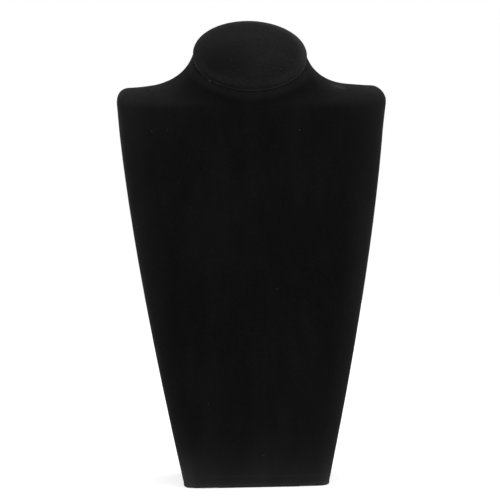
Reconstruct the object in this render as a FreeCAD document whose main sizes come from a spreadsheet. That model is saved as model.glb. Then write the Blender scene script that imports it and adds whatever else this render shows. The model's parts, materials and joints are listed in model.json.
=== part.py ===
import FreeCAD, Part
import math
import os

# A velvet bust for showing necklaces: a tall tapered chest with flat shoulders and a short round neck that
# is cut on a slope. It stands on its flat base. The front faces -Y, Z is up and X runs to the viewer's right.
# The origin lies on the table, midway between the base's sides. All lengths are millimetres.

Vector = FreeCAD.Vector

# Driving dimensions: name, value, what it sets
SIZES = [
    ("shoulder_width", 216, "width across the shoulders"),
    ("base_width", 115, "width across the base"),
    ("shoulder_height", 319, "top of the shoulders above the table"),
    ("shoulder_corner", 9, "rounding of the shoulder ends in the front view"),
    ("shoulder_rise", 0.8, "how much the shoulder tops climb towards the neck"),
    ("shoulder_round", 34, "below the shoulder tops, where the front starts to round over to them"),
    ("side_bow", 1.35, "how the sides bow outwards; 1 makes them straight"),
    ("depth", 93, "from the back to the fullest part of the chest"),
    ("chest_bulge", 4, "how far the chest stands in front of the base"),
    ("chest_height", 134, "fullest part of the chest above the table"),
    ("base_squareness", 9, "how square the base is in plan; 2 would be an ellipse"),
    ("chest_squareness", 4.6, "how square the chest is in plan"),
    ("neck_width", 92.5, "neck opening from side to side"),
    ("neck_length", 95, "neck opening along its slope"),
    ("neck_slope", 42, "slope of the neck opening in degrees"),
    ("neck_front_drop", 7.5, "front of the neck opening below the shoulder tops"),
    ("neck_front_setback", 3.8, "front of the neck opening behind the chest"),
    ("flare_run", 28, "how far the curve from neck to shoulder runs along the shoulder"),
    ("flare_steepness", 75, "slope of the neck's side at the opening in degrees"),
    ("cover_thickness", 1.2, "velvet with its backing"),
    ("form_wall", 3, "wall of the moulded form"),
    ("back_board_thickness", 3, "hardboard at the back"),
    ("base_board_thickness", 9, "fibreboard in the base"),
    ("cap_board_thickness", 2, "edge of the neck's oval board"),
    ("cap_rise", 4, "how much the neck's oval board swells in its middle"),
    ("pad_thickness", 1.5, "felt under the base"),
    ("hem_width", 12, "velvet turned in at the base, back and neck"),
    ("hem_margin", 4, "from the outline to the edge of the back cover and the base pad"),
    ("fit_gap", 0.3, "room for glue between pieces"),
]

# The skin is drawn past the base, the back and the neck opening, so that each of them is a clean cut.
RUN_PAST = 14.0
RUN_PAST_NECK = 14.0

# The lines that the skin passes through, and how they change from the base to the neck
TORSO_STATIONS = 10
TORSO_CROWDING = 1.5
TOP_STATIONS = 23
OUTLINE_POINTS = 56
BACK_SQUARENESS = 8
SOFTENING = 0.7
FRONT_LEAN = 0.6
FRONT_EASE = 0.6
OVAL_START = 0.35
PAST_NECK_SHARES = (0.15, 0.45, 1.0)

# How far a cutter reaches through the velvet, in thicknesses
THROUGH = 1.5


def make_sheet(doc):
    sheet = doc.addObject("Spreadsheet::Sheet", "sizes")
    for row, (name, value, note) in enumerate(SIZES, start=1):
        sheet.set(f"A{row}", name)
        sheet.set(f"B{row}", str(value))
        sheet.setAlias(f"B{row}", name)
        sheet.set(f"C{row}", note)
    doc.recompute()
    return sheet


def bezier(controls, fraction):
    """A point on the curve that the control points pull."""
    points = list(controls)
    while len(points) > 1:
        points = [p + (q - p) * fraction for p, q in zip(points, points[1:])]
    return points[0]


class Station:
    """One closed line round the bust, through a front, a back and two side points."""

    def __init__(self, side, front, back, square_front, square_back):
        self.side = side
        self.front = front
        self.back = back
        self.square_front = square_front
        self.square_back = square_back

    def height(self, y):
        """The line rises as a parabola through its front, side and back heights."""
        knots = (self.front, self.side, self.back)
        total = 0.0
        for knot in knots:
            weight = 1.0
            for other in knots:
                if other is not knot:
                    weight *= (y - other.y) / (knot.y - other.y)
            total += knot.z * weight
        return total

    def plan_point(self, angle):
        """A point of the rounded plan outline, in the direction of the angle from its middle."""
        across, along = math.cos(angle), math.sin(angle)
        depth = self.side.y - self.front.y if along < 0 else self.back.y - self.side.y
        power = self.square_front if along < 0 else self.square_back
        reach = (abs(across / self.side.x) ** power + abs(along / depth) ** power) ** (-1 / power)
        return Vector(reach * across, self.side.y + reach * along, 0)

    def points(self):
        """Points at even distances round the outline, from the middle of the back."""
        fine = [self.plan_point(math.tau * i / 720 + math.pi / 2) for i in range(721)]
        plan = Part.makePolygon(fine).discretize(Number=OUTLINE_POINTS + 1)[:-1]
        return [Vector(p.x, p.y, self.height(p.y)) for p in plan]


def chest_front(s, z):
    """The middle of the front at a height: it swells from the base to the chest and falls back above it."""
    share = min(max(z / s.shoulder_height, 0), 1)
    skew = math.log(0.5) / math.log(s.chest_height / s.shoulder_height)
    return s.chest_bulge * (1 - math.sin(math.pi * share ** skew)) - s.depth / 2


def neck_opening(s):
    """The front and back points of the sloping neck opening, and its outward direction."""
    slope = math.radians(s.neck_slope)
    height = s.shoulder_height - s.neck_front_drop
    front = Vector(0, chest_front(s, height) + s.neck_front_setback, height)
    back = front + Vector(0, math.cos(slope), math.sin(slope)) * s.neck_length
    outward = Vector(0, -math.sin(slope), math.cos(slope))
    return front, back, outward


def torso_station(s, z):
    """A level line round the chest: the sides bow outwards and the front swells a little."""
    top = s.shoulder_height - s.shoulder_corner
    widening = (s.shoulder_width - s.base_width) / 2
    half_width = s.shoulder_width / 2 - widening * max(1 - z / top, 0) ** s.side_bow
    share = max(z / top, 0) ** SOFTENING
    squareness = s.base_squareness + (s.chest_squareness - s.base_squareness) * share
    front = Vector(0, chest_front(s, z), z)
    back = Vector(0, s.depth / 2 + RUN_PAST, z)
    return Station(Vector(half_width, 0, z), front, back, squareness, BACK_SQUARENESS)


def shoulder_line(s, start, rim_height):
    """The outline in the front view: up to the shoulder, round its end, along it and up the neck."""
    half = s.shoulder_width / 2
    top = s.shoulder_height
    corner = s.shoulder_corner
    centre = Vector(half - corner, 0, top - corner)
    diagonal = Vector(math.cos(math.pi / 4), 0, math.sin(math.pi / 4)) * corner
    corner_start = Vector(half, 0, top - corner)
    corner_end = Vector(half - corner, 0, top)
    rim = Vector(s.neck_width / 2, 0, rim_height)
    knee_height = top + s.shoulder_rise
    knee_reach = (rim_height - knee_height) / math.tan(math.radians(s.flare_steepness))
    knee = Vector(rim.x + knee_reach, 0, knee_height)
    foot = knee + Vector(s.flare_run, 0, 0)
    flare = Part.BezierCurve()
    flare.setPoles([foot, knee, rim])
    return Part.Wire([
        Part.makeLine(start, corner_start),
        Part.Arc(corner_start, centre + diagonal, corner_end).toShape(),
        Part.makeLine(corner_end, foot),
        flare.toShape(),
    ])


def top_stations(s, start):
    """The lines that climb over the shoulders and close in to the neck opening."""
    rim_front, rim_back, outward = neck_opening(s)
    rim_height = (rim_front.z + rim_back.z) / 2
    side_line = shoulder_line(s, start.side, rim_height).discretize(Number=TOP_STATIONS)
    climb = Vector(0, 0, rim_front.z - start.front.z)
    front_line = [start.front, start.front + climb * FRONT_LEAN, rim_front]
    back_line = [
        start.back,
        Vector(0, start.back.y, s.shoulder_height),
        Vector(0, rim_back.y, s.shoulder_height),
        Vector(0, rim_back.y, s.shoulder_height),
        rim_back,
    ]
    stations = []
    for index, side in enumerate(side_line[1:], start=1):
        share = index / (TOP_STATIONS - 1)
        eased = share + FRONT_EASE * math.sin(math.tau * share) / math.tau
        front = bezier(front_line, eased)
        back = bezier(back_line, share)
        blend = max((share - OVAL_START) / (1 - OVAL_START), 0)
        side.y = (front.y + back.y) / 2 * blend
        square_front = start.square_front + (2 - start.square_front) * blend
        square_back = start.square_back + (2 - start.square_back) * math.sqrt(blend)
        stations.append(Station(side, front, back, square_front, square_back))
    return stations + stations_past_neck(stations[-2], stations[-1], outward)


def stations_past_neck(before, rim, outward):
    """The neck's walls carried straight on past the opening, in growing steps."""
    def carry(start, end, distance):
        direction = (end - start).normalize()
        return end + direction * (distance / direction.dot(outward))

    side_before = Vector(before.side.x, rim.side.y, before.side.z)
    stations = []
    for share in PAST_NECK_SHARES:
        distance = share * RUN_PAST_NECK
        front = carry(before.front, rim.front, distance)
        back = carry(before.back, rim.back, distance)
        side = (front + back) * 0.5
        side.x = carry(side_before, rim.side, distance).x
        stations.append(Station(side, front, back, 2, 2))
    return stations


def skin_stations(s):
    """All the lines of the skin, from below the table to above the neck opening."""
    start = s.shoulder_height - s.shoulder_round
    shares = [1 - (1 - i / (TORSO_STATIONS - 1)) ** TORSO_CROWDING for i in range(TORSO_STATIONS)]
    stations = [torso_station(s, -RUN_PAST)] + [torso_station(s, start * share) for share in shares]
    return stations + top_stations(s, stations[-1])


class Skin:
    """A smooth closed surface through rows of points, one row to a station."""

    def __init__(self, rows):
        self.rows = rows
        count = len(rows[0])
        self.round_knots = [i / count for i in range(count + 1)]
        self.up_knots = [0.0]
        for lower, upper in zip(rows, rows[1:]):
            step = sum(p.distanceToPoint(q) for p, q in zip(lower, upper)) / count
            self.up_knots.append(self.up_knots[-1] + step)
        self.surface = self.make_surface()

    def make_surface(self):
        rounds = []
        for row in self.rows:
            curve = Part.BSplineCurve()
            curve.interpolate(Points=row, PeriodicFlag=True, Parameters=self.round_knots)
            rounds.append(curve)
        poles = []
        for column in zip(*[curve.getPoles() for curve in rounds]):
            curve = Part.BSplineCurve()
            curve.interpolate(Points=list(column), Parameters=self.up_knots)
            poles.append(curve.getPoles())
        surface = Part.BSplineSurface()
        surface.buildFromPolesMultsKnots(
            poles, rounds[0].getMultiplicities(), curve.getMultiplicities(),
            rounds[0].getKnots(), curve.getKnots(), True, False, 3, 3)
        return surface

    def inset(self, distance):
        """The skin moved inwards; its two end rows are flattened into the planes that they nearly lie in."""
        rows = []
        for up, row in zip(self.up_knots, self.rows):
            rows.append([
                point - self.surface.normal(around, up) * distance
                for around, point in zip(self.round_knots, row)
            ])
        for index in (0, -1):
            row = rows[index]
            third = len(row) // 3
            upright = (row[third] - row[0]).cross(row[2 * third] - row[0]).normalize()
            rows[index] = [point - upright * (point - row[0]).dot(upright) for point in row]
        return Skin(rows)

    def solid(self):
        skin = self.surface.toShape()
        ends = [Part.Face(Part.Wire([edge])) for edge in skin.Edges if edge.isClosed()]
        shell = Part.makeCompound([skin] + ends)
        shell.sewShape()
        return Part.Solid(shell.Shells[0])


def add_shape(doc, name, shape):
    feature = doc.addObject("Part::Feature", name)
    feature.Shape = shape
    return feature


def add_boolean(doc, kind, name, base, tool):
    feature = doc.addObject(f"Part::{kind}", name)
    feature.Base = base
    feature.Tool = tool
    return feature


def bind(feature, **expressions):
    for place, expression in expressions.items():
        feature.setExpression(place.replace("__", "."), expression)


def add_box(doc, name, low, high):
    """A box between two corners, each given as three expressions."""
    box = doc.addObject("Part::Box", name)
    for axis, length, start, end in zip("xyz", ("Length", "Width", "Height"), low, high):
        box.setExpression(f"Placement.Base.{axis}", start)
        box.setExpression(length, f"({end}) - ({start})")
    return box


# Planes that several pieces share, as expressions of the sheet
PAD_TOP = "sizes.pad_thickness"
BACK = "(sizes.depth / 2)"
HEM_BACK = f"({BACK} - sizes.cover_thickness)"
COVER_AND_GAP = "(sizes.cover_thickness + sizes.fit_gap)"
BOARD_BACK = f"({HEM_BACK} - {COVER_AND_GAP})"
BOARD_FRONT = f"({BOARD_BACK} - sizes.back_board_thickness)"
FORM_FOOT = f"({PAD_TOP} + {COVER_AND_GAP})"
WIDE = "sizes.shoulder_width"
TALL = "(sizes.shoulder_height * 2)"


def add_envelope(doc, name, foot, back):
    """The space above a level and in front of an upright plane."""
    return add_box(doc, name, (f"-{WIDE}", f"-{WIDE}", foot), (WIDE, back, TALL))


def add_neck_block(doc, name, opening_front, depth):
    """The space above the sloping neck opening, lowered by a depth."""
    block = doc.addObject("Part::Box", name)
    bind(block, Length=f"{WIDE} * 2", Width=f"{WIDE} * 3", Height=WIDE)
    block.Placement.Rotation = FreeCAD.Rotation(Vector(1, 0, 0), doc.sizes.neck_slope)
    sine, cosine = "sin(sizes.neck_slope * 1deg)", "cos(sizes.neck_slope * 1deg)"
    bind(
        block,
        Placement__Rotation__Angle="sizes.neck_slope",
        Placement__Base__x=f"-{WIDE}",
        Placement__Base__y=f"{opening_front.y} - {WIDE} * {cosine} + {depth} * {sine}",
        Placement__Base__z=f"{opening_front.z} - {WIDE} * {sine} - {depth} * {cosine}",
    )
    return block


def add_front_cover(doc, s, skins, opening_front, opening_middle):
    """The velvet over the form, turned in at the base, at the back and at the neck."""
    outside = add_envelope(doc, "cover_envelope", PAD_TOP, HEM_BACK)
    inside = add_envelope(
        doc, "cover_hollow_envelope", f"{PAD_TOP} + sizes.cover_thickness", f"{HEM_BACK} - sizes.cover_thickness")
    block = add_boolean(doc, "Common", "cover_block", skins["outer"], outside)
    hollow = add_boolean(doc, "Common", "cover_hollow", skins["cover_inside"], inside)
    neck_outside = add_neck_block(doc, "cover_neck_block", opening_front, "0")
    neck_inside = add_neck_block(doc, "cover_hollow_neck_block", opening_front, "sizes.cover_thickness")
    block = add_boolean(doc, "Cut", "cover_block_open", block, neck_outside)
    hollow = add_boolean(doc, "Cut", "cover_hollow_open", hollow, neck_inside)
    shell = add_boolean(doc, "Cut", "cover_shell", block, hollow)

    windows = doc.addObject("Part::MultiFuse", "cover_windows")
    windows.Shapes = [add_base_window(doc), add_back_window(doc, s), add_neck_window(doc, opening_middle)]
    return add_boolean(doc, "Cut", "front_cover", shell, windows)


def add_base_window(doc):
    """What the hem leaves open under the base."""
    half = "(sizes.base_width / 2 - sizes.hem_width)"
    low = (f"-{half}", f"sizes.chest_bulge + sizes.hem_width - {BACK}", "0")
    high = (half, f"{HEM_BACK} - sizes.hem_width", f"{PAD_TOP} + sizes.cover_thickness * {THROUGH}")
    return add_box(doc, "base_window", low, high)


def add_back_window(doc, s):
    """What the hem leaves open at the back: a panel that follows the bowed sides."""
    foot = s.pad_thickness + s.hem_width
    head = s.shoulder_height - s.hem_width
    hem_back = s.depth / 2 - s.cover_thickness
    front = hem_back - s.cover_thickness * THROUGH
    right = []
    for step in range(TORSO_STATIONS):
        z = foot + (head - foot) * step / (TORSO_STATIONS - 1)
        right.append(Vector(torso_station(s, z).side.x - s.hem_width, front, z))
    left = [Vector(-p.x, p.y, p.z) for p in reversed(right)]
    outline = Part.makePolygon(right + left + right[:1])
    return add_shape(doc, "back_window", Part.Face(outline).extrude(Vector(0, s.depth / 2 - front, 0)))


def add_neck_window(doc, opening_middle):
    """What the hem leaves open at the neck."""
    depth = f"-sizes.cover_thickness * {THROUGH}"
    window = add_oval_disc(doc, "neck_window", "sizes.hem_width", depth, "sizes.fit_gap")
    return tilt(window, opening_middle)


def add_bust_form(doc, skins, opening_front):
    """The moulded shell under the velvet, open at the base, at the back and at the neck."""
    envelope = add_envelope(doc, "form_envelope", FORM_FOOT, BOARD_FRONT)
    block = add_boolean(doc, "Common", "form_block", skins["form_outside"], envelope)
    above = add_neck_block(doc, "form_neck_block", opening_front, COVER_AND_GAP)
    block = add_boolean(doc, "Cut", "form_block_open", block, above)
    return add_boolean(doc, "Cut", "bust_form", block, skins["form_inside"])


def add_base_board(doc, skins):
    """The board that closes the form's foot, cut to fit inside its walls."""
    low = (f"-{WIDE}", f"-{WIDE}", FORM_FOOT)
    high = (WIDE, f"{BOARD_FRONT} - sizes.fit_gap", f"{FORM_FOOT} + sizes.base_board_thickness")
    slab = add_box(doc, "base_slab", low, high)
    return add_boolean(doc, "Common", "base_board", skins["board_edge"], slab)


def add_back_board(doc, skins):
    """The board that closes the back, against the edges of the form's walls."""
    low = (f"-{WIDE}", BOARD_FRONT, FORM_FOOT)
    high = (WIDE, BOARD_BACK, TALL)
    slab = add_box(doc, "back_slab", low, high)
    return add_boolean(doc, "Common", "back_board", skins["form_outside"], slab)


def add_back_cover(doc, skins):
    """The velvet panel over the back, laid over the turned-in edge of the front cover."""
    low = (f"-{WIDE}", HEM_BACK, f"{PAD_TOP} + sizes.hem_margin")
    slab = add_box(doc, "back_cover_slab", low, (WIDE, BACK, TALL))
    return add_boolean(doc, "Common", "back_cover", skins["hem_margin"], slab)


def add_base_pad(doc, skins):
    """The felt that the bust stands on."""
    high = (WIDE, f"{HEM_BACK} - sizes.hem_margin", PAD_TOP)
    slab = add_box(doc, "base_pad_slab", (f"-{WIDE}", f"-{WIDE}", "0"), high)
    return add_boolean(doc, "Common", "base_pad", skins["hem_margin"], slab)


def tilt(feature, middle):
    """Lays a piece that was drawn level on the slope of the neck opening."""
    slope = FreeCAD.Rotation(Vector(1, 0, 0), feature.Document.sizes.neck_slope)
    feature.Placement = FreeCAD.Placement(middle, slope)
    feature.setExpression("Placement.Rotation.Angle", "sizes.neck_slope")
    return feature


def neck_radii(shrink):
    """Half the neck opening's width and length as expressions, drawn in by a shrink."""
    return f"(sizes.neck_width / 2 - {shrink})", f"(sizes.neck_length / 2 - {shrink})"


def add_oval_disc(doc, name, shrink, foot, head):
    """A level oval disc of the neck opening's shape."""
    across, along = neck_radii(shrink)
    oval = doc.addObject("Part::Ellipse", f"{name}_oval")
    bind(
        oval,
        MajorRadius=f"max({across}; {along})",
        MinorRadius=f"min({across}; {along})",
        Placement__Rotation__Angle=f"{across} >= {along} ? 0 : 90",
        Placement__Base__z=foot,
    )
    disc = doc.addObject("Part::Extrusion", name)
    disc.Base = oval
    disc.Dir = Vector(0, 0, 1)
    disc.Solid = True
    disc.setExpression("LengthFwd", f"({head}) - ({foot})")
    return disc


def add_oval_plate(doc, name, shrink, foot, head, rise):
    """A level oval disc with a swollen top."""
    across, along = neck_radii(shrink)
    disc = add_oval_disc(doc, f"{name}_disc", shrink, foot, head)
    swell = doc.addObject("Part::Ellipsoid", f"{name}_swell")
    swell.Angle1 = 0
    bind(swell, Radius1=rise, Radius2=across, Radius3=along, Placement__Base__z=head)
    return add_boolean(doc, "Fuse", name, disc, swell)


def add_neck_cap(doc, middle):
    """The oval board that closes the neck and the velvet drawn over it and turned in beneath."""
    cover = "sizes.cover_thickness"
    head = f"{COVER_AND_GAP} + sizes.cap_board_thickness"
    swell = "sizes.cap_rise"
    board = add_oval_plate(doc, "neck_cap_board", COVER_AND_GAP, COVER_AND_GAP, head, swell)
    outside = add_oval_plate(doc, "cap_outside", "0", "0", head, f"{swell} + {COVER_AND_GAP}")
    inside = add_oval_plate(doc, "cap_inside", cover, cover, head, f"{swell} + sizes.fit_gap")
    window = add_oval_disc(doc, "cap_window", "sizes.hem_width", "-sizes.fit_gap", f"{cover} * {THROUGH}")
    shell = add_boolean(doc, "Cut", "cap_shell", outside, inside)
    cap_cover = add_boolean(doc, "Cut", "neck_cap_cover", shell, window)
    return [tilt(board, middle), tilt(cap_cover, middle)]


def check(doc, parts):
    """Stops the build where a feature failed or a piece isn't one sound solid."""
    for feature in doc.Objects:
        if "Invalid" in feature.State or "Error" in feature.State:
            raise RuntimeError(f"{feature.Label} could not be computed: {feature.State}")
    for part in parts:
        shape = part.Shape
        if shape.isNull() or not shape.isValid() or len(shape.Solids) != 1:
            raise RuntimeError(f"{part.Label} is not one sound solid")


def build():
    doc = FreeCAD.newDocument("necklace_bust")
    sheet = make_sheet(doc)
    outer = Skin([station.points() for station in skin_stations(sheet)])
    form_depth = sheet.cover_thickness + sheet.fit_gap
    insets = {
        "outer": 0,
        "cover_inside": sheet.cover_thickness,
        "hem_margin": sheet.hem_margin,
        "form_outside": form_depth,
        "form_inside": form_depth + sheet.form_wall,
        "board_edge": form_depth + sheet.form_wall + sheet.fit_gap,
    }
    skins = {name: add_shape(doc, f"skin_{name}", outer.inset(depth).solid()) for name, depth in insets.items()}

    opening_front, opening_back, _ = neck_opening(sheet)
    opening_middle = (opening_front + opening_back) * 0.5
    parts = [
        add_front_cover(doc, sheet, skins, opening_front, opening_middle),
        add_bust_form(doc, skins, opening_front),
        add_base_board(doc, skins),
        add_back_board(doc, skins),
        add_back_cover(doc, skins),
        add_base_pad(doc, skins),
    ]
    parts += add_neck_cap(doc, opening_middle)
    doc.recompute()
    check(doc, parts)
    os.makedirs("parts", exist_ok=True)
    for part in parts:
        part.Shape.exportStep(os.path.join("parts", f"{part.Label}.step"))


build()
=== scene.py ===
import json
import math
import random

import bmesh
import bpy
from bpy.props import FloatProperty, FloatVectorProperty, IntProperty, PointerProperty
from mathutils import Matrix, Vector
from mathutils.bvhtree import BVHTree

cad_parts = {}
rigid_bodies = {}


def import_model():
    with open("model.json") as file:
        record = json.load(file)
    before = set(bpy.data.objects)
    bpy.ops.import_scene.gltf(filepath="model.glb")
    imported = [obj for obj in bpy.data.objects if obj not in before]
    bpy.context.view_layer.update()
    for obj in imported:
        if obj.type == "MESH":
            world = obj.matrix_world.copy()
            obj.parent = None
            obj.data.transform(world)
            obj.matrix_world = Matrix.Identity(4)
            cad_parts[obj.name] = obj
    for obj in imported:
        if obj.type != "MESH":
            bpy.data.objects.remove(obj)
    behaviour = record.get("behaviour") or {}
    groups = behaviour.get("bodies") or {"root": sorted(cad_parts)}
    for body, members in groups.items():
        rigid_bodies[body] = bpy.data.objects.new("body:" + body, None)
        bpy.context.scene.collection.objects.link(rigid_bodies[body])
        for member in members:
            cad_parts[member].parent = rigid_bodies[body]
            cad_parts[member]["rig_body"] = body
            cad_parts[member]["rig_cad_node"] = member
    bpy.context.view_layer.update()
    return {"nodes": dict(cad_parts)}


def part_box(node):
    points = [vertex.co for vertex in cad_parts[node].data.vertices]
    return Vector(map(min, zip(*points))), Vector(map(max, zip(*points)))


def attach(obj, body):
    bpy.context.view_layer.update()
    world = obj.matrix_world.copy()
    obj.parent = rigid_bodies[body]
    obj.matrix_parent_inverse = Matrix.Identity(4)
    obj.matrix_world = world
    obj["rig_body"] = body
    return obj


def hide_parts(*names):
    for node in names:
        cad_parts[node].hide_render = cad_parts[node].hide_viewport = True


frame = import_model()

bl_info = {
    "name": "Velvet necklace stand",
    "version": (1, 0, 0),
    "blender": (4, 5, 0),
    "location": "View3D > Sidebar > Bust",
    "description": "Dresses the moulded bust in velvet, felt and board, and lights it",
    "category": "Object",
}

# The bust faces -Y and stands on the floor at z 0. All lengths are metres.

# The specks of lint that stand out: x, z and length of each.
LINT = (
    (-0.0333, 0.3214, 0.0018),
    (-0.0280, 0.3190, 0.0012),
    (-0.0020, 0.3572, 0.0006),
    (-0.0160, 0.3384, 0.0009),
    (-0.0145, 0.3329, 0.0006),
    (0.0239, 0.3454, 0.0006),
    (0.0231, 0.3306, 0.0006),
    (0.0325, 0.3384, 0.0008),
    (0.0364, 0.2805, 0.0010),
    (-0.0794, 0.2805, 0.0008),
    (-0.0677, 0.2812, 0.0007),
    (0.0051, 0.0254, 0.0009),
)

# The other specks' lengths, as shares of a usual one. The rest are shares of a speck's own length.
SPECK_LENGTHS = (0.5, 1.2)
SPECK_SHAPE = (1.0, 0.22, 0.2)
SPECK_BENDS = (0.2, 0.45)
SPECK_LIFT = 0.1

# Places on the chest, as x and z, and on the neck cap, as x and the way up its slope: the middles
# of the painted highlights at the foot's corner and at the crease, the shoulder corner that the
# cloth is pulled from, and the middle of the painted shade on the cap.
FOOT_CORNER = (-0.057, 0.0)
SHOULDER_CREASE = (0.0705, 0.3205)
SHOULDER_CORNER = (0.1, 0.318)
CAP_SHADE_MIDDLE = (-0.024, -0.014)

# The chest's half width at the floor, and how much it grows with the height.
FOOT_HALF_WIDTH = 0.0575
CHEST_TAPER = 0.168

# Where each painted highlight, painted sheen and painted shade on the chest begins and ends: by
# height, by distance, or by x.
SIDE_FOLD = (0.78, 1.0)  # shares of the chest's half width
FLOOR_FOLD = (0.0015, 0.0045)
LEDGE = (0.0002, 0.0012)
FOOT_CORNER_SPREAD = (0.002, 0.028)
CREASE_SPREAD = (0.0, 0.0105)
CREASE_BACK = (-0.012, 0.004)
SHOULDER_ACROSS = (0.045, 0.108)
SHOULDER_UP = (0.25, 0.315)
NECK_FOOT = (0.325, 0.33)
SEAM_DOWN = (0.003, 0.009)
SEAM_OUT = (1.02, 1.2)  # shares of the neck's radius
SHADE_ACROSS = (0.045, 0.098)
SHADE_UP = (0.298, 0.314)

# The same for the painted sheen, highlight and shade on the neck cap.
CAP_RIM = (0.8, 1.0)  # shares of the cap's radius
CAP_LIT_RIM = (0.01, 0.06)
CAP_HEM = (0.0006, 0.0022)
CAP_PATCH_SPREAD = (0.004, 0.036)

# The painted highlight at the crease runs down to the right and is longer than it is wide. The
# painted highlight at the foot's corner reaches further up than across.
CREASE_RUN = (0.85, -0.53)
CREASE_NARROWING = 2.2
FOOT_CORNER_SQUEEZE = 0.7

# Points nearer than the first are merged, and edges shorter than the second are taken out.
MERGE_DISTANCE = 1e-6
SLIVER = 0.00002

# Edges sharper than this, in degrees, stay sharp.
SHARP_ANGLE = 60

# A face is level when its normal's z is past this.
LEVEL = 0.9


class ClothSettings(bpy.types.PropertyGroup):
    """Sizes of the velvet pieces."""

    thickness: FloatProperty(
        name="Thickness", description="Backing cloth with its flattened pile",
        default=0.0008, unit="LENGTH")
    mesh_step: FloatProperty(
        name="Mesh step", description="Side of a face in the stretched cloth",
        default=0.0022, unit="LENGTH")
    hem_width: FloatProperty(
        name="Hem width", description="Cloth turned in under the neck cap",
        default=0.012, unit="LENGTH")
    fold_angle: FloatProperty(
        name="Fold angle", description="Edges of the form sharper than this are rounded as a fold",
        default=math.radians(24), subtype="ANGLE")
    fold_rounds: IntProperty(
        name="Fold rounding", description="How many times a fold is smoothed", default=3, min=0)
    tight_fold: FloatProperty(
        name="Tight fold", description="Below this height the fold at the floor stays tight",
        default=0.006, unit="LENGTH")
    shoulder_pull: FloatProperty(
        name="Shoulder pull",
        description="How far the cloth stands proud at the corner of the right shoulder",
        default=0.0009, unit="LENGTH")
    edge_round: FloatProperty(
        name="Edge rounding", description="Rounding of the flat pieces' edges",
        default=0.0003, unit="LENGTH")


class CapSettings(bpy.types.PropertyGroup):
    """Sizes of the oval plate that closes the neck."""

    width: FloatProperty(
        name="Width", description="From side to side", default=0.0925, unit="LENGTH")
    length: FloatProperty(
        name="Length", description="Along the slope", default=0.095, unit="LENGTH")
    edge: FloatProperty(
        name="Edge", description="Height of the upright edge", default=0.0035, unit="LENGTH")
    dome: FloatProperty(
        name="Dome", description="How far the middle swells above the edge",
        default=0.0055, unit="LENGTH")
    sides: IntProperty(name="Sides", description="Faces round the oval", default=144, min=24)
    rings: IntProperty(
        name="Rings", description="Rings of faces from the edge to the middle", default=14, min=4)
    roll: FloatProperty(
        name="Lower roll", description="Rounding where the cloth turns under",
        default=0.0009, unit="LENGTH")


class PileSettings(bpy.types.PropertyGroup):
    """Colour and lie of the velvet pile."""

    colour: FloatVectorProperty(
        name="Colour", description="The pile seen from its tips", subtype="COLOR",
        size=3, default=(0.0032, 0.0032, 0.0033), min=0, max=1)
    stroke_colour: FloatVectorProperty(
        name="Stroke colour", description="The pile where it has been brushed over",
        subtype="COLOR", size=3, default=(0.0060, 0.0060, 0.0062), min=0, max=1)
    # Painted shade: the colour laid below the neck and low on the left of the neck cap.
    painted_shade_colour: FloatVectorProperty(
        name="Pressed colour", description="The pile where it lies away from the light",
        subtype="COLOR", size=3, default=(0.0004, 0.0004, 0.0004), min=0, max=1)
    # Painted highlights, painted sheen and painted floor light along the folds, shoulders, foot
    # and cap rim, partly scuffing at the foot; also the colour of the dust specks.
    painted_light_and_dust_colour: FloatVectorProperty(
        name="Worn colour", description="The pile where it is opened or rubbed along a fold",
        subtype="COLOR", size=3, default=(0.036, 0.036, 0.0367), min=0, max=1)
    sheen: FloatProperty(
        name="Sheen", description="Light caught by the sides of the fibres on the chest and back",
        default=0.018, min=0, max=1, subtype="FACTOR")
    cap_sheen: FloatProperty(
        name="Cap sheen", description="The same on the neck cap, whose pile stands up",
        default=0.052, min=0, max=1, subtype="FACTOR")
    sheen_roughness: FloatProperty(
        name="Sheen roughness", description="Spread of that light",
        default=0.5, min=0, max=1, subtype="FACTOR")
    grain: FloatProperty(
        name="Grain", description="How much lighter the tufts' tips are on the chest and back",
        default=0.25, min=0, max=1, subtype="FACTOR")
    cap_grain: FloatProperty(
        name="Cap grain", description="The same on the neck cap",
        default=1.0, min=0, max=1, subtype="FACTOR")
    tuft_size: FloatProperty(
        name="Tuft size", description="Spacing of the tufts of pile",
        default=0.0009, unit="LENGTH")
    tuft_height: FloatProperty(
        name="Tuft height", description="Height of the tufts of pile",
        default=0.00018, unit="LENGTH")


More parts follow.
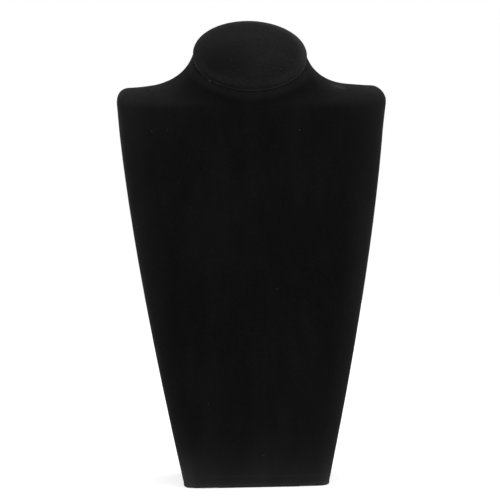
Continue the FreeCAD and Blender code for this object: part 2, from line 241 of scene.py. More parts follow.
class PaintedLightSettings(bpy.types.PropertyGroup):
    """Painted light and painted shade on the pile at each place, with some scuffing along the
    foot.
    """

    # Painted floor light along the foot, partly scuffing, with painted sheen where it meets the
    # side folds, and how far up it reaches.
    foot: FloatProperty(
        name="Foot", description="Rubbed all along the foot", default=0.68, min=0)
    foot_sides: FloatProperty(
        name="Foot's sides", description="Rubbed further where the foot meets the side folds",
        default=0.55, min=0)
    foot_reach: FloatProperty(
        name="Foot's reach", description="How far up from the floor the foot is rubbed",
        default=0.018, unit="LENGTH")
    # Painted highlight at the left end of the foot.
    foot_corner: FloatProperty(
        name="Foot's left corner", description="Rubbed at the left end of the foot",
        default=0.4, min=0)
    # Painted highlight where the cloth turns under at the floor.
    floor_fold: FloatProperty(
        name="Floor fold", description="Opened where the cloth turns under", default=0.35, min=0)
    side_folds: FloatProperty(
        # Painted sheen along both sides.
        name="Side folds", description="Rubbed along both sides", default=0.13, min=0)
    # Painted highlight along the edge of the base board, and its height.
    ledge: FloatProperty(
        name="Ledge", description="Rubbed along the edge of the base board",
        default=0.08, min=0)
    ledge_height: FloatProperty(
        name="Ledge height", description="Where the edge of the base board shows through",
        default=0.009, unit="LENGTH")
    # Painted highlight at the crease on the right shoulder.
    crease: FloatProperty(
        name="Crease", description="Rubbed at the crease on the right shoulder",
        default=1.3, min=0)
    # Painted sheen on both shoulders.
    shoulders: FloatProperty(
        name="Shoulders", description="Rubbed on both shoulders", default=0.15, min=0)
    # Painted light over the shade under the neck cap.
    seam: FloatProperty(
        name="Seam", description="Opened at the seam under the neck cap", default=0.26, min=0)
    # Painted shade below the neck.
    below_neck: FloatProperty(
        name="Below the neck", description="Pressed down below the neck", default=0.5, min=0)
    # Painted sheen round the cap's rim, brighter at its upper right.
    rim: FloatProperty(
        name="Rim", description="Rubbed all round the cap's rim", default=0.2, min=0)
    lit_rim: FloatProperty(
        name="Upper right rim", description="Rubbed further at the upper right of the rim",
        default=0.75, min=0)
    # Painted highlight where the cap's cloth turns under.
    cap_hem: FloatProperty(
        name="Cap's hem", description="Opened where the cap's cloth turns under",
        default=0.45, min=0)
    # Painted shade low on the left of the cap.
    cap_patch: FloatProperty(
        name="Cap's patch", description="Pressed down low on the left of the cap",
        default=0.9, min=0)


class LintSettings(bpy.types.PropertyGroup):
    """Dust that has settled on the pile."""

    count: IntProperty(
        name="Specks", description="Specks strewn over the velvet", default=14, min=0)
    size: FloatProperty(
        name="Size", description="Length of a usual speck", default=0.0006, unit="LENGTH")
    seed: IntProperty(name="Seed", description="Changes where the specks lie", default=7)


class BoardSettings(bpy.types.PropertyGroup):
    """Colours of the hidden boards, the moulded form and the felt."""

    pulp_colour: FloatVectorProperty(
        name="Pulp", description="Moulded pulp of the bust form", subtype="COLOR",
        size=3, default=(0.36, 0.31, 0.24), min=0, max=1)
    fibre_colour: FloatVectorProperty(
        name="Fibreboard", description="Boards in the base, the back and the neck",
        subtype="COLOR", size=3, default=(0.36, 0.24, 0.13), min=0, max=1)
    felt_colour: FloatVectorProperty(
        name="Felt", description="Pad under the base", subtype="COLOR",
        size=3, default=(0.012, 0.012, 0.013), min=0, max=1)


class StageSettings(bpy.types.PropertyGroup):
    """Camera, lamps and backdrop."""

    camera_distance: FloatProperty(
        name="Camera distance", description="From the bust's middle to the camera",
        default=1.166, unit="LENGTH")
    camera_height: FloatProperty(
        name="Camera height", description="Above the floor", default=0.1866, unit="LENGTH")
    camera_azimuth: FloatProperty(
        name="Camera azimuth", description="Round the bust from its front",
        default=math.radians(-3.03), subtype="ANGLE")
    camera_pitch: FloatProperty(
        name="Camera pitch", description="Above the horizon", default=0.0, subtype="ANGLE")
    camera_roll: FloatProperty(
        name="Camera roll", description="Turn about the line of sight",
        default=math.radians(-0.694), subtype="ANGLE")
    camera_lens: FloatProperty(
        name="Lens", description="Focal length on a 36 mm sensor, in millimetres",
        default=103.03)
    camera_shift: FloatProperty(
        name="Shift", description="How far the frame moves sideways, as a share of its width",
        default=-0.004)
    sky_strength: FloatProperty(
        name="Sky strength", description="Even light from the white surroundings", default=0.85)
    top_strength: FloatProperty(
        name="Top lamp", description="Power of the soft lamp overhead, in watts", default=2.5)
    side_strength: FloatProperty(
        name="Side lamp", description="Power of the soft lamp on the right, in watts",
        default=2.5)
    floor_glow: FloatProperty(
        name="Floor glow", description="Brightness that the picture adds to the floor",
        default=0.55, min=0, max=1, subtype="FACTOR")
    backdrop_white: FloatProperty(
        name="Backdrop white", description="Brightness of the backdrop in the picture",
        default=1.0, min=0, max=1, subtype="FACTOR")


class Socket:
    """A shader socket that can be written in sums."""

    def __init__(self, shader, output):
        self.shader = shader
        self.output = output

    def _math(self, operation, *values):
        return self.shader.add(
            "ShaderNodeMath", {"operation": operation}, dict(enumerate(values)))

    def __add__(self, other):
        return self._math("ADD", self, other)

    __radd__ = __add__

    def __mul__(self, other):
        return self._math("MULTIPLY", self, other)

    __rmul__ = __mul__

    def __sub__(self, other):
        return self._math("SUBTRACT", self, other)

    def __rsub__(self, other):
        return self._math("SUBTRACT", other, self)

    def __truediv__(self, other):
        return self._math("DIVIDE", self, other)

    def __rtruediv__(self, other):
        return self._math("DIVIDE", other, self)

    def __pow__(self, other):
        return self._math("POWER", self, other)

    def __rpow__(self, other):
        return self._math("POWER", other, self)

    def __abs__(self):
        return self._math("ABSOLUTE", self)

    def limited(self):
        """The value kept between 0 and 1."""
        return self.shader.add("ShaderNodeClamp", {}, {"Value": self})


class Shader:
    """The nodes of a material or of the world."""

    def __init__(self, owner):
        owner.use_nodes = True
        self.owner = owner
        self.nodes = owner.node_tree.nodes
        self.links = owner.node_tree.links
        self.nodes.clear()

    def node(self, kind, settings=None, inputs=None):
        """A node of a type, with its settings and then its sockets' values or links."""
        made = self.nodes.new(kind)
        for name, value in (settings or {}).items():
            setattr(made, name, value)
        for name, value in (inputs or {}).items():
            if isinstance(value, Socket):
                self.links.new(value.output, made.inputs[name])
            else:
                made.inputs[name].default_value = value
        return made

    def add(self, kind, settings=None, inputs=None, output=0):
        """One of the outputs of a new node."""
        return Socket(self, self.node(kind, settings, inputs).outputs[output])

    def place(self):
        return self.add("ShaderNodeTexCoord", output="Object")

    def split(self, vector):
        """The x, y and z of a vector."""
        node = self.node("ShaderNodeSeparateXYZ", {}, {"Vector": vector})
        return [Socket(self, output) for output in node.outputs]

    def squeezed(self, height):
        """Object coordinates with the heights times a share, which draws a pattern out upwards."""
        return self.add(
            "ShaderNodeMapping", {"vector_type": "POINT"},
            {"Vector": self.place(), "Scale": (1.0, 1.0, height)})

    def noise(self, size, detail=2.0, roughness=0.5, at=None):
        """Cloudy noise whose clouds are about that many metres across."""
        return self.add(
            "ShaderNodeTexNoise", {},
            {
                "Vector": at or self.place(),
                "Scale": 1 / size,
                "Detail": detail,
                "Roughness": roughness,
            },
            "Fac")

    def ramp(self, value, low, high):
        """0 below low, 1 above high and smooth between."""
        return self.add(
            "ShaderNodeMapRange", {"interpolation_type": "SMOOTHSTEP"},
            {"Value": value, "From Min": low, "From Max": high})

    def mix(self, factor, first, second):
        """A colour between two others, each a socket or red, green and blue."""
        first, second = (
            colour if isinstance(colour, Socket) else (*colour, 1) for colour in (first, second))
        return self.add(
            "ShaderNodeMix", {"data_type": "RGBA"}, {"Factor": factor, 6: first, 7: second}, 2)

    def bump(self, height, depth):
        """A normal raised by a height of 0 to 1 times the depth."""
        return self.add(
            "ShaderNodeBump", {}, {"Height": height, "Strength": 1.0, "Distance": depth})

    def surface(self, **inputs):
        """Ends the material in a principled surface."""
        named = {name.replace("_", " "): value for name, value in inputs.items()}
        closure = self.add("ShaderNodeBsdfPrincipled", {}, named)
        self.node("ShaderNodeOutputMaterial", {}, {"Surface": closure})
        return self.owner


def scaled(colour, share):
    """A colour made darker or paler."""
    return tuple(channel * share for channel in colour)


def velvet_material(name, scene, sheen, grain, marks):
    """Short black pile: nearly black from its tips and paler where it is brushed over, with
    painted light and painted shade laid over it by the marks, and specks of dust.
    """
    pile = scene.bust_pile
    shader = Shader(bpy.data.materials.new(name))
    brushed = shader.noise(size=0.05, detail=3.0, roughness=0.6, at=shader.squeezed(0.45))
    strokes = shader.noise(size=0.012, at=shader.squeezed(0.35))
    lie = shader.ramp(brushed * 0.65 + strokes * 0.35, low=0.38, high=0.66)
    tufts = shader.noise(size=pile.tuft_size, roughness=0.7)
    clumps = shader.ramp(
        shader.noise(size=pile.tuft_size * 2.2, roughness=0.6), low=0.4, high=0.62)
    fibres = shader.noise(size=pile.tuft_size * 0.35, detail=1.0)
    dust = shader.ramp(
        shader.noise(size=pile.tuft_size * 1.6, detail=1.0), low=0.66, high=0.76)
    shade = (lie * 0.5 + (tufts + clumps - 1) * grain + 0.25).limited()
    # The marks give painted highlights, painted sheen and painted floor light, partly scuffing at
    # the foot, and painted shade; the pale specks are dust.
    painted_light_and_wear, painted_shade = marks(shader, scene.bust_wear, scene.bust_cap)
    painted_light_wear_and_dust = painted_light_and_wear * (0.54 + strokes * 0.36) + dust * grain * 0.22
    plain = shader.mix(shade, pile.colour, pile.stroke_colour)
    # Painted shade laid over the pile's own colour.
    dark = shader.mix(painted_shade.limited(), plain, pile.painted_shade_colour)
    return shader.surface(
        Base_Color=shader.mix(painted_light_wear_and_dust.limited(), dark, pile.painted_light_and_dust_colour),
        Roughness=0.92 - lie * 0.06,
        Specular_IOR_Level=0.03,
        Sheen_Weight=sheen,
        Sheen_Roughness=pile.sheen_roughness,
        Sheen_Tint=(1.0, 1.0, 1.0, 1.0),
        Normal=shader.bump(tufts * 0.7 + fibres * 0.3, pile.tuft_height),
    )


def from_neck_plane(shader, cap):
    """Where a point lies from the middle of the neck opening.

    Sideways, up its slope and out of it in metres, and how far out in the oval, 1 at its edge.
    """
    x, y, z = shader.split(shader.place())
    middle, slope = neck_opening(cap.length)
    along = (y - middle.y) * math.cos(slope) + (z - middle.z) * math.sin(slope)
    above = (z - middle.z) * math.cos(slope) - (y - middle.y) * math.sin(slope)
    radius = ((x * (2 / cap.width)) ** 2 + (along * (2 / cap.length)) ** 2) ** 0.5
    return x, along, above, radius


def chest_painted_light_and_wear(shader, painted, cap):
    """Painted light and painted shade on the pile of the chest and the back: painted sheen along
    the sides and shoulders, painted highlights at the floor fold, the base board's edge, the
    foot's corner and the shoulder crease, painted light under the neck cap, painted floor light
    along the foot that is partly scuffing, and painted shade below the neck.
    """
    x, y, z = shader.split(shader.place())
    _, _, above, radius = from_neck_plane(shader, cap)
    # Painted sheen along both sides.
    side = shader.ramp(abs(x) / (FOOT_HALF_WIDTH + z * CHEST_TAPER), *SIDE_FOLD)
    # Painted floor light along the foot, partly scuffing, paler still where it meets the sides.
    foot = math.e ** (z * (-1 / painted.foot_reach)) * (painted.foot + side * painted.foot_sides)
    # Painted highlight where the cloth turns under at the floor.
    fold = 1 - shader.ramp(z, *FLOOR_FOLD)
    # Painted highlight along the edge of the base board.
    ledge = 1 - shader.ramp(abs(z - painted.ledge_height), *LEDGE)
    # Painted highlight at the foot's left corner.
    from_corner = ((x - FOOT_CORNER[0]) ** 2 + (z * FOOT_CORNER_SQUEEZE) ** 2) ** 0.5
    corner = 1 - shader.ramp(from_corner, *FOOT_CORNER_SPREAD)
    # Painted highlight at the crease on the right shoulder.
    right, up = x - SHOULDER_CREASE[0], z - SHOULDER_CREASE[1]
    along_crease = right * CREASE_RUN[0] + up * CREASE_RUN[1]
    across_crease = up * CREASE_RUN[0] - right * CREASE_RUN[1]
    from_crease = (along_crease ** 2 + (across_crease * CREASE_NARROWING) ** 2) ** 0.5
    in_front = 1 - shader.ramp(y, *CREASE_BACK)
    crease = (1 - shader.ramp(from_crease, *CREASE_SPREAD)) * in_front
    # Painted sheen on both shoulders.
    shoulders = shader.ramp(abs(x), *SHOULDER_ACROSS) * shader.ramp(z, *SHOULDER_UP)
    below_neck = 1 - shader.ramp(z, *NECK_FOOT)
    # Painted light over the shade under the neck cap.
    seam = (1 - shader.ramp(0 - above, *SEAM_DOWN)) * (1 - shader.ramp(radius, *SEAM_OUT))
    chest = (
        side * painted.side_folds
        + fold * painted.floor_fold
        + ledge * painted.ledge
        + crease * painted.crease
        + shoulders * painted.shoulders
        + corner * painted.foot_corner
    )
    painted_light_and_wear = foot + chest * below_neck + seam * painted.seam
    # Painted shade below the neck.
    painted_shade = (1 - shader.ramp(abs(x), *SHADE_ACROSS)) * shader.ramp(z, *SHADE_UP)
    return painted_light_and_wear, painted_shade * painted.below_neck


def cap_painted_light(shader, painted, cap):
    """Painted light and painted shade on the pile of the neck cap: painted sheen round the rim,
    brighter at the upper right, a painted highlight along the hem, and painted shade low on the
    left.
    """
    x, along, above, radius = from_neck_plane(shader, cap)
    # Painted sheen round the rim, brighter at the upper right.
    lit = shader.ramp(x + along, *CAP_LIT_RIM)
    rim = shader.ramp(radius, *CAP_RIM) * (painted.rim + lit * painted.lit_rim)
    # Painted highlight where the cloth turns under.
    hem = 1 - shader.ramp(above, *CAP_HEM)
    # Painted shade low on the left of the cap.
    right, up = x - CAP_SHADE_MIDDLE[0], along - CAP_SHADE_MIDDLE[1]
    patch = 1 - shader.ramp((right ** 2 + up ** 2) ** 0.5, *CAP_PATCH_SPREAD)
    return rim + hem * painted.cap_hem, patch * painted.cap_patch


def felt_material(colour):
    """Pressed felt: short tangled fibres."""
    shader = Shader(bpy.data.materials.new("pressed_felt"))
    tangle = shader.noise(size=0.0012, detail=4.0, roughness=0.75)
    cloud = shader.noise(size=0.012)
    shade = (tangle * 0.6 + cloud * 0.4).limited()
    return shader.surface(
        Base_Color=shader.mix(shade, colour, scaled(colour, 1.7)),
        Roughness=0.92 + cloud * 0.06,
        Specular_IOR_Level=0.15,
        Sheen_Weight=0.08,
        Sheen_Roughness=0.5,
        Normal=shader.bump(tangle, depth=0.0004),
    )


def pulp_material(colour):
    """Moulded pulp: matted paper fibres with a mottled, slightly rough face."""
    shader = Shader(bpy.data.materials.new("moulded_pulp"))
    clumps = shader.noise(size=0.006, detail=4.0, roughness=0.65)
    fibres = shader.noise(size=0.0012, detail=3.0, roughness=0.7)
    shade = (clumps * 0.7 + fibres * 0.3).limited()
    return shader.surface(
        Base_Color=shader.mix(shade, scaled(colour, 0.72), colour),
        Roughness=0.85 + fibres * 0.1,
        Specular_IOR_Level=0.25,
        Normal=shader.bump(clumps * 0.6 + fibres * 0.4, depth=0.0008),
    )


def fibreboard_material(colour):
    """Fibreboard: fine brown fibres, flecked."""
    shader = Shader(bpy.data.materials.new("fibreboard"))
    fibres = shader.noise(size=0.0015, detail=3.0, roughness=0.7, at=shader.squeezed(0.4))
    flecks = shader.ramp(
        shader.noise(size=0.003, detail=1.0, roughness=0.4), low=0.62, high=0.72)
    plain = shader.mix(fibres, colour, scaled(colour, 1.25))
    return shader.surface(
        Base_Color=shader.mix(flecks * 0.6, plain, scaled(colour, 0.55)),
        Roughness=0.7 + fibres * 0.15,
        Specular_IOR_Level=0.3,
        Normal=shader.bump(fibres, depth=0.0003),
    )


def lint_material():
    """Pale dust and fibres that cling to the pile."""
    shader = Shader(bpy.data.materials.new("pale_lint"))
    cloud = shader.noise(size=0.002)
    return shader.surface(
        Base_Color=shader.mix(cloud, (0.07, 0.07, 0.072), (0.2, 0.2, 0.2)),
        Roughness=0.9 - cloud * 0.1,
    )


def activate(piece):
    """Selects a piece alone and makes it the active one."""
    bpy.ops.object.select_all(action="DESELECT")
    piece.select_set(True)
    bpy.context.view_layer.objects.active = piece


def apply_modifier(piece, kind, **settings):
    """Adds a modifier, sets it and applies it."""
    activate(piece)
    modifier = piece.modifiers.new(kind.lower(), kind)
    for name, value in settings.items():
        setattr(modifier, name, value)
    bpy.ops.object.modifier_apply(modifier=modifier.name)


def give_thickness(piece, cloth):
    """Turns the outer face of a cloth into a closed piece, inwards from that face."""
    apply_modifier(
        piece, "SOLIDIFY", thickness=cloth.thickness, offset=-1.0, use_even_offset=True)


def start_edit(piece, mode="FACE"):
    """Opens edit mode with nothing selected."""
    activate(piece)
    bpy.ops.object.mode_set(mode="EDIT")
    bpy.ops.mesh.select_mode(type=mode)
    bpy.ops.mesh.select_all(action="DESELECT")


def end_edit():
    bpy.ops.object.mode_set(mode="OBJECT")


def select_where(piece, test, kind="faces"):
    """Selects what passes the test, from inside edit mode."""
    shape = bmesh.from_edit_mesh(piece.data)
    for element in getattr(shape, kind):
        element.select_set(bool(test(element)))
    shape.select_flush_mode()
    bmesh.update_edit_mesh(piece.data)


def turn_faces_out():
    """Turns all the faces outwards, from inside edit mode."""
    bpy.ops.mesh.select_all(action="SELECT")
    bpy.ops.mesh.normals_make_consistent(inside=False)


def copy_of(name, node):
    """A merged copy of a CAD node as a new piece."""
    source = frame["nodes"][node]
    piece = source.copy()
    piece.data = source.data.copy()
    piece.name = piece.data.name = name
    piece.parent = None
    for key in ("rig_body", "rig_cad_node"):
        del piece[key]
    bpy.context.scene.collection.objects.link(piece)
    start_edit(piece, "VERT")
    bpy.ops.mesh.select_all(action="SELECT")
    bpy.ops.mesh.remove_doubles(threshold=MERGE_DISTANCE)
    end_edit()
    return piece


def dress(piece, material, slot, *nodes):
    """Gives a finished piece its material and its body, and hides the nodes that it stands for."""
    if not piece.data.polygons:
        raise RuntimeError(f"{piece.name} has no faces left")
    piece.data.materials.clear()
    piece.data.materials.append(bpy.data.materials[material])
    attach(piece, "root")
    if nodes:
        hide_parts(*nodes)


def smooth(piece):
    """Shades a piece smooth, but for its sharp edges."""
    activate(piece)
    bpy.ops.object.shade_smooth_by_angle(angle=math.radians(SHARP_ANGLE))


def tree_of(piece):
    """A piece's faces, ready to be searched."""
    return BVHTree.FromObject(piece, bpy.context.evaluated_depsgraph_get())


def looks_at(tree, place, direction, clearance=1e-5):
    """Whether a ray that leaves the place meets anything."""
    return tree.ray_cast(place + direction * clearance, direction)[0] is not None


def soften_edges(piece, width):
    """Rounds the outline of a flat piece."""
    start_edit(piece, "EDGE")
    turn_faces_out()
    bpy.ops.mesh.dissolve_limited(angle_limit=math.radians(1))
    bpy.ops.mesh.select_all(action="DESELECT")
    bpy.ops.mesh.edges_select_sharp(sharpness=math.radians(SHARP_ANGLE))
    bpy.ops.mesh.bevel(offset=width, segments=2, affect="EDGES", clamp_overlap=False)
    bpy.ops.mesh.select_all(action="SELECT")
    bpy.ops.mesh.remove_doubles(threshold=SLIVER)
    bpy.ops.mesh.dissolve_degenerate(threshold=SLIVER)
    end_edit()
    smooth(piece)
    apply_modifier(piece, "WEIGHTED_NORMAL", keep_sharp=True)


def neck_opening(length):
    """The middle of the sloping neck opening and its slope."""
    low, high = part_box("neck_cap_cover")
    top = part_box("front_cover")[1].z
    slope = math.asin((top - low.z) / length)
    middle = Vector((0, high.y - math.cos(slope) * length / 2, (top + low.z) / 2))
    return middle, slope


class BUST_OT_finishes(bpy.types.Operator):
    """Makes the materials and gives the boards and the moulded form theirs"""

    bl_idname = "bust.finishes"
    bl_label = "Finishes"

    def execute(self, context):
        scene = context.scene
        pile, boards = scene.bust_pile, scene.bust_boards
        velvet_material("velvet_pile", scene, pile.sheen, pile.grain, chest_painted_light_and_wear)
        velvet_material("cap_velvet_pile", scene, pile.cap_sheen, pile.cap_grain, cap_painted_light)
        felt_material(boards.felt_colour)
        lint_material()
        fibreboard = fibreboard_material(boards.fibre_colour)
        finishes = {
            "bust_form": pulp_material(boards.pulp_colour),
            "base_board": fibreboard,
            "back_board": fibreboard,
            "neck_cap_board": fibreboard,
        }
        for node, material in finishes.items():
            slots = frame["nodes"][node].data.materials
            slots.clear()
            slots.append(material)
        return {"FINISHED"}


class BUST_OT_front_velvet(bpy.types.Operator):
    """Stretches the velvet over the chest, shoulders and neck"""

    bl_idname = "bust.front_velvet"
    bl_label = "Front velvet"

    def execute(self, context):
        cloth = context.scene.bust_cloth
        piece = copy_of("front_velvet", "front_cover")
        self.keep_outside(piece)
        outside_count = len(piece.data.polygons)
        self.close_openings(piece)
        mould = self.mould_from(piece)
        apply_modifier(piece, "REMESH", mode="VOXEL", voxel_size=cloth.mesh_step)
        apply_modifier(piece, "SHRINKWRAP", target=mould, wrap_method="NEAREST_SURFACEPOINT")
        self.open_again(piece, mould, outside_count)
        bpy.data.objects.remove(mould)
        self.round_folds(piece, cloth)
        self.turn_down_rim(piece)
        self.pull_shoulder(piece, cloth)
        give_thickness(piece, cloth)
        smooth(piece)
        dress(piece, "velvet_pile", "velvet", "front_cover")
        return {"FINISHED"}

    def keep_outside(self, piece):
        """Deletes the lining and the cut edges, which look at another part of the cover."""
        start_edit(piece)
        turn_faces_out()
        end_edit()
        tree = tree_of(piece)
        start_edit(piece)
        select_where(
            piece, lambda face: looks_at(tree, face.calc_center_median(), face.normal))
        bpy.ops.mesh.delete(type="FACE")
        end_edit()

    def close_openings(self, piece):
        """Fills what the hems leave open, so that the cover becomes a solid body."""
        start_edit(piece, "EDGE")
        bpy.ops.mesh.select_all(action="SELECT")
        bpy.ops.mesh.fill_holes(sides=0)
        turn_faces_out()
        end_edit()

    def mould_from(self, piece):
        """A copy of the closed cover, on which the cloth is laid."""
        mould = piece.copy()
        mould.data = piece.data.copy()
        bpy.context.scene.collection.objects.link(mould)
        return mould

    def open_again(self, piece, mould, outside_count):
        """Cuts the openings back to the hems' edges and evens out those edges."""
        tree = tree_of(mould)

        def fills_opening(face):
            nearest = tree.find_nearest(face.calc_center_median())[2]
            return nearest >= outside_count

        start_edit(piece)
        select_where(piece, fills_opening)
        bpy.ops.mesh.delete(type="FACE")
        bpy.ops.mesh.select_mode(type="VERT")
        bpy.ops.mesh.select_all(action="DESELECT")
        bpy.ops.mesh.select_non_manifold()
        bpy.ops.mesh.vertices_smooth(factor=0.5, repeat=6)
        end_edit()

    def round_folds(self, piece, cloth):
        """Softens the lines along which the cloth turns in, but not the fold at the floor."""
        start_edit(piece, "EDGE")
        bpy.ops.mesh.edges_select_sharp(sharpness=cloth.fold_angle)
        bpy.ops.mesh.select_mode(type="VERT")
        select_where(piece, lambda v: v.select and v.co.z >= cloth.tight_fold, "verts")
        bpy.ops.mesh.vertices_smooth(factor=0.5, repeat=cloth.fold_rounds)
        bpy.ops.mesh.select_more()
        bpy.ops.mesh.vertices_smooth(factor=0.5, repeat=1)
        end_edit()

    def turn_down_rim(self, piece):
        """Lets the fold outside the felt hang to just above the floor."""
        fold_height, beyond_felt, above_floor = 0.001, 0.0022, 0.0002
        felt = tree_of(frame["nodes"]["base_pad"])
        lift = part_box("front_cover")[0].z

        def hangs(vertex):
            beside_felt = Vector((vertex.co.x, vertex.co.y, lift / 2))
            low = vertex.co.z < lift + fold_height
            return low and felt.find_nearest(beside_felt)[3] > beyond_felt

        start_edit(piece, "VERT")
        select_where(piece, hangs, "verts")
        bpy.ops.transform.translate(value=(0, 0, above_floor - lift))
        end_edit()

    def pull_shoulder(self, piece, cloth):
        """Pulls the cloth a little proud of the form on the right shoulder."""
        corner = Vector((SHOULDER_CORNER[0], 0, SHOULDER_CORNER[1]))
        reach, fade = 0.009, 0.03
        sideways = cloth.shoulder_pull * 1.3
        start_edit(piece, "VERT")
        select_where(
            piece, lambda v: (Vector((v.co.x, 0, v.co.z)) - corner).length < reach, "verts")
        bpy.ops.transform.translate(
            value=(sideways, 0, cloth.shoulder_pull), use_proportional_edit=True,
            proportional_edit_falloff="SMOOTH", proportional_size=fade)
        end_edit()


class BUST_OT_neck_cap(bpy.types.Operator):
    """Draws velvet over the oval plate that closes the neck"""

    bl_idname = "bust.neck_cap"
    bl_label = "Neck cap velvet"

    def execute(self, context):
        cap, cloth = context.scene.bust_cap, context.scene.bust_cloth
        bpy.ops.object.select_all(action="DESELECT")
        bpy.ops.mesh.primitive_cylinder_add(
            vertices=cap.sides, radius=1.0, depth=cap.edge, end_fill_type="NGON",
            location=(0, 0, cap.edge / 2))
        piece = context.active_object
        piece.name = piece.data.name = "neck_cap_velvet"
        bpy.ops.object.transform_apply(location=True, rotation=True, scale=True)
        start_edit(piece)
        bpy.ops.mesh.select_all(action="SELECT")
        bpy.ops.transform.resize(value=(cap.width / 2, cap.length / 2, 1))
        self.turn_under(piece, cloth)
        self.swell(piece, cap)
        self.roll_edge(piece, cap)
        end_edit()
        self.lay_on_neck(piece, cap)
        give_thickness(piece, cloth)
        smooth(piece)
        dress(piece, "cap_velvet_pile", "velvet", "neck_cap_cover")
        return {"FINISHED"}

    def turn_under(self, piece, cloth):
        """Leaves a hem round the underside."""
        select_where(piece, lambda face: face.normal.z < -LEVEL)
        bpy.ops.mesh.inset(thickness=cloth.hem_width, depth=0)
        select_where(piece, lambda face: face.normal.z < -LEVEL and len(face.verts) > 4)
        bpy.ops.mesh.delete(type="FACE")

    def swell(self, piece, cap):
        """Raises the top in rings to a shallow dome."""
        radius = (cap.width + cap.length) / 4
        turns = [math.pi / 2 * step / cap.rings for step in range(cap.rings)]
        select_where(piece, lambda face: face.normal.z > LEVEL)
        for turn, after in zip(turns, turns[1:]):
            inward = radius * (math.cos(turn) - math.cos(after))
            rise = cap.dome * (math.sin(after) - math.sin(turn))
            bpy.ops.mesh.inset(thickness=inward, depth=rise)
        bpy.ops.mesh.poke(offset=cap.dome * (1 - math.sin(turns[-1])))

    def roll_edge(self, piece, cap):
        """Rounds the lower edge, where the cloth turns under."""
        inner = min(cap.width, cap.length) / 2 - cap.roll

        def is_low_edge(edge):
            return all(
                abs(v.co.z) < MERGE_DISTANCE and v.co.xy.length > inner for v in edge.verts)

        bpy.ops.mesh.select_mode(type="EDGE")
        select_where(piece, is_low_edge, "edges")
        bpy.ops.mesh.bevel(offset=cap.roll, segments=3, affect="EDGES", clamp_overlap=False)

    def lay_on_neck(self, piece, cap):
        """Moves the cap from the floor to the sloping opening."""
        middle, slope = neck_opening(cap.length)
        piece.location = middle
        piece.rotation_euler = (slope, 0, 0)
        activate(piece)
        bpy.ops.object.transform_apply(location=True, rotation=True, scale=True)


class BUST_OT_back_panel(bpy.types.Operator):
    """Lays the velvet panel over the back"""

    bl_idname = "bust.back_panel"
    bl_label = "Back panel"

    def execute(self, context):
        piece = copy_of("back_velvet", "back_cover")
        soften_edges(piece, context.scene.bust_cloth.edge_round)
        dress(piece, "velvet_pile", "velvet", "back_cover")
        return {"FINISHED"}


class BUST_OT_base_felt(bpy.types.Operator):
    """Glues the felt under the base"""

    bl_idname = "bust.base_felt"
    bl_label = "Base felt"

    def execute(self, context):
        piece = copy_of("base_felt", "base_pad")
        soften_edges(piece, context.scene.bust_cloth.edge_round)
        dress(piece, "pressed_felt", "felt", "base_pad")
        return {"FINISHED"}


class BUST_OT_lint(bpy.types.Operator):
    """Lets a few specks of lint settle on the velvet"""

    bl_idname = "bust.lint"
    bl_label = "Lint"

    def execute(self, context):
        lint = context.scene.bust_lint
        chance = random.Random(lint.seed)
        cloths = [tree_of(bpy.data.objects[name]) for name in ("front_velvet", "neck_cap_velvet")]
        low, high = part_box("front_cover")
        in_front, above_foot = low.y - 0.05, low.z + 0.01
        strewn = [
            (
                chance.uniform(low.x, high.x),
                chance.uniform(above_foot, high.z),
                chance.uniform(*SPECK_LENGTHS) * lint.size,
            )
            for _ in range(lint.count)
        ]
        bpy.ops.object.select_all(action="DESELECT")
        specks = []
        for x, z, length in (*LINT, *strewn):
            start = Vector((x, in_front, z))
            met = [tree.ray_cast(start, Vector((0, 1, 0))) for tree in cloths]
            met = [hit for hit in met if hit[0]]
            if met:
                place, normal, _, _ = min(met, key=lambda hit: hit[3])
                specks.append(self.add_speck(place, normal, length, chance))
        if not specks:
            raise RuntimeError("no speck of lint met the velvet")
        for speck in specks:
            speck.select_set(True)
        bpy.ops.object.join()
        piece = context.active_object
        piece.name = piece.data.name = "lint"
        activate(piece)
        bpy.ops.object.transform_apply(location=True, rotation=True, scale=True)
        bpy.ops.object.shade_smooth()
        dress(piece, "pale_lint", "velvet")
        return {"FINISHED"}

    def add_speck(self, place, normal, length, chance):
        """A short bent tuft, turned any way on the cloth."""
        spin = Matrix.Rotation(chance.uniform(0, math.pi), 4, "Z").to_quaternion()
        turn = normal.to_track_quat("Z", "Y") @ spin
        bpy.ops.mesh.primitive_ico_sphere_add(
            subdivisions=2, radius=length / 2, location=place + normal * length * SPECK_LIFT,
            rotation=turn.to_euler(), scale=SPECK_SHAPE)
        speck = bpy.context.active_object
        bend = chance.uniform(*SPECK_BENDS) * length
        for vertex in speck.data.vertices:
            along = vertex.co.x / (length / 2)
            vertex.co.y += bend * along * along
        return speck


def add_area_lamp(name, place, target, size, power):
    """A soft rectangular lamp that faces its target."""
    lamp = bpy.data.lights.new(name, "AREA")
    lamp.shape = "RECTANGLE"
    lamp.size, lamp.size_y = size
    lamp.energy = power
    light = bpy.data.objects.new(name, lamp)
    light.location = place
    light.rotation_euler = (Vector(target) - Vector(place)).to_track_quat("-Z", "Y").to_euler()
    bpy.context.scene.collection.objects.link(light)


def shown_rays(shader):
    """1 for what the camera sees, also by way of gloss or glass."""
    rays = shader.node("ShaderNodeLightPath")
    camera, gloss, glass = (
        Socket(shader, rays.outputs[f"Is {kind} Ray"])
        for kind in ("Camera", "Glossy", "Transmission"))
    return (camera + gloss + glass).limited()


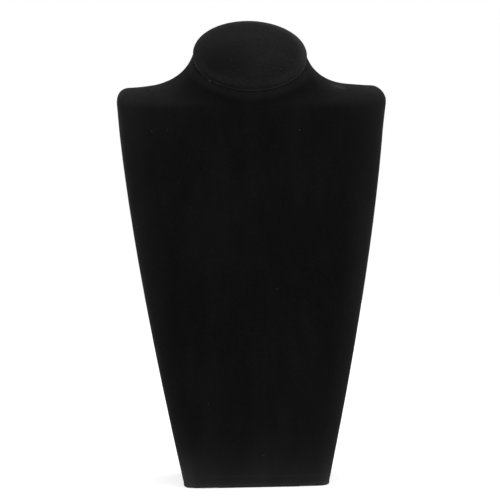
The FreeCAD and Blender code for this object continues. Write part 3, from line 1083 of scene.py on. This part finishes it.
def white_floor_material(brightness):
    """A pale floor that shows white where nothing shades it and keeps the shadow."""
    shader = Shader(bpy.data.materials.new("white_floor"))
    paint = shader.add("ShaderNodeBsdfDiffuse", {}, {"Color": (0.8, 0.8, 0.8, 1)})
    glow = shader.add("ShaderNodeEmission", {}, {"Strength": shown_rays(shader) * brightness})
    both = shader.add("ShaderNodeAddShader", {}, {0: paint, 1: glow})
    shader.node("ShaderNodeOutputMaterial", {}, {"Surface": both})
    return shader.owner


class BUST_OT_stage(bpy.types.Operator):
    """Sets the floor, the white surroundings, the lamps and the camera"""

    bl_idname = "bust.stage"
    bl_label = "Stage"

    def execute(self, context):
        scene = context.scene
        stage = scene.bust_stage
        self.add_floor(stage)
        self.add_sky(scene, stage)
        add_area_lamp(
            "top_lamp", place=(0.05, -0.15, 1.3), target=(0, 0, 0.2), size=(1.0, 0.8),
            power=stage.top_strength)
        add_area_lamp(
            "side_lamp", place=(1.1, -0.3, 0.6), target=(0, 0, 0.25), size=(0.8, 1.0),
            power=stage.side_strength)
        self.add_camera(scene, stage)
        scene.view_settings.view_transform = "Standard"
        return {"FINISHED"}

    def add_floor(self, stage):
        """A wide floor, which isn't part of the bust."""
        bpy.ops.object.select_all(action="DESELECT")
        bpy.ops.mesh.primitive_plane_add(size=8)
        floor = bpy.context.active_object
        floor.name = "floor"
        floor.data.materials.append(white_floor_material(stage.floor_glow))

    def add_sky(self, scene, stage):
        """Even light all round, which the picture shows as a white backdrop."""
        scene.world = bpy.data.worlds.new("white_surroundings")
        shader = Shader(scene.world)
        whiter = stage.backdrop_white - stage.sky_strength
        strength = stage.sky_strength + shown_rays(shader) * whiter
        background = shader.add(
            "ShaderNodeBackground", {}, {"Color": (1, 1, 1, 1), "Strength": strength})
        shader.node("ShaderNodeOutputWorld", {}, {"Surface": background})

    def add_camera(self, scene, stage):
        """The camera at the photograph's viewing angle."""
        data = bpy.data.cameras.new("photo_camera")
        data.sensor_width = 36
        data.lens = stage.camera_lens
        data.shift_x = stage.camera_shift
        data.clip_end = 50
        camera = bpy.data.objects.new("photo_camera", data)
        azimuth = stage.camera_azimuth
        camera.location = (
            stage.camera_distance * math.sin(azimuth),
            -stage.camera_distance * math.cos(azimuth),
            stage.camera_height,
        )
        turn = Matrix.Rotation(azimuth, 4, "Z")
        tilt = Matrix.Rotation(math.pi / 2 + stage.camera_pitch, 4, "X")
        roll = Matrix.Rotation(stage.camera_roll, 4, "Z")
        camera.rotation_euler = (turn @ tilt @ roll).to_euler()
        scene.collection.objects.link(camera)
        scene.camera = camera


class BUST_PT_panel(bpy.types.Panel):
    """Lists the steps that dress the bust"""

    bl_idname = "BUST_PT_panel"
    bl_label = "Necklace bust"
    bl_space_type = "VIEW_3D"
    bl_region_type = "UI"
    bl_category = "Bust"

    def draw(self, context):
        for step in STEPS:
            self.layout.operator(step.bl_idname)


STEPS = (
    BUST_OT_finishes,
    BUST_OT_front_velvet,
    BUST_OT_neck_cap,
    BUST_OT_back_panel,
    BUST_OT_base_felt,
    BUST_OT_lint,
    BUST_OT_stage,
)
SETTINGS = {
    "bust_cloth": ClothSettings,
    "bust_cap": CapSettings,
    "bust_pile": PileSettings,
    "bust_wear": PaintedLightSettings,
    "bust_lint": LintSettings,
    "bust_boards": BoardSettings,
    "bust_stage": StageSettings,
}


def register():
    for kind in (*SETTINGS.values(), *STEPS, BUST_PT_panel):
        bpy.utils.register_class(kind)
    for name, kind in SETTINGS.items():
        setattr(bpy.types.Scene, name, PointerProperty(type=kind))


def unregister():
    for name in SETTINGS:
        delattr(bpy.types.Scene, name)
    for kind in reversed((*SETTINGS.values(), *STEPS, BUST_PT_panel)):
        bpy.utils.unregister_class(kind)


def main():
    register()
    for step in STEPS:
        group, action = step.bl_idname.split(".")
        getattr(getattr(bpy.ops, group), action)()


if __name__ == "__main__":
    main()
